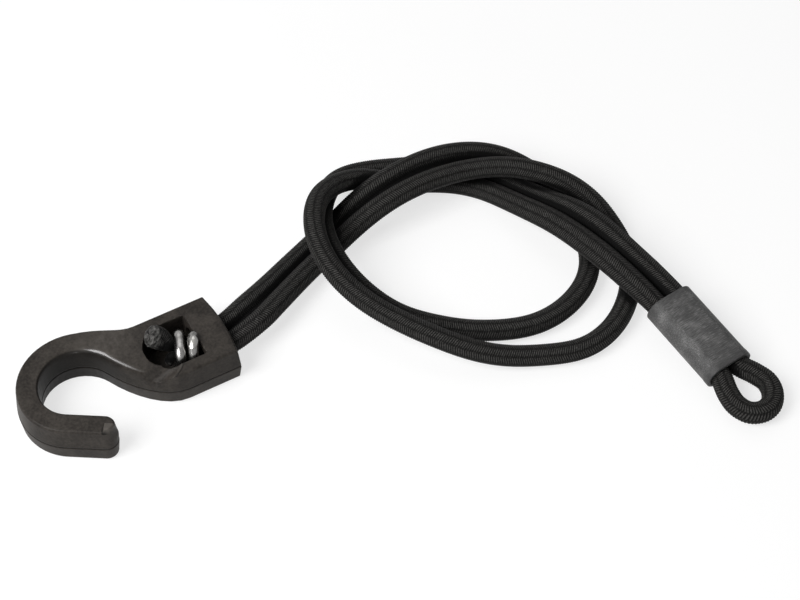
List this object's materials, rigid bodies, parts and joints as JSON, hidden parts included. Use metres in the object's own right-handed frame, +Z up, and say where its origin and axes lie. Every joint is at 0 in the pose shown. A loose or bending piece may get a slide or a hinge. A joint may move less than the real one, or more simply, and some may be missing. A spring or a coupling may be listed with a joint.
{
  "type": "bungee cord",
  "caption": "Elastic cord folded in half and loosely knotted, its ends clipped into a moulded plastic hook and its fold held as an eye by a sleeve.",
  "frame": {"origin": "middle of the hook's outline on the surface that the cord lies on", "axes": "+X from the hook's bow along its housing to where the cord leaves it, +Z up out of the window, +Y to the side that the shoulder is on"},
  "size_m": [0.1707, 0.1247, 0.0189],
  "materials": {
    "hook": "dark charcoal moulded plastic, fine matte grain",
    "wire_clip": "bare drawn steel wire, slightly dull",
    "cord_jacket": "black braided yarn",
    "cord_core": "natural rubber strands",
    "sleeve": "grey soft plastic tube, scuffed"
  },
  "bodies": {
    "hook": {"hook": "hook"},
    "cord": {"cord_jacket": "cord_jacket", "cord_core": "cord_core", "wire_clip": "wire_clip"},
    "eye_end": {"sleeve": "sleeve"}
  },
  "joints": [
    {"name": "cord_ends_slide", "type": "slide", "parent": "hook", "child": "cord", "axis": [1, 0, 0], "range_m": [-0.0008, 0]},
    {"name": "cord_stretch", "type": "slide", "parent": "cord", "child": "eye_end", "axis": [0.108, -0.9942, 0], "range_m": [0, 0.06], "stiffness_N_per_m": 400, "deforming": ["cord_jacket", "cord_core"]}
  ]
}
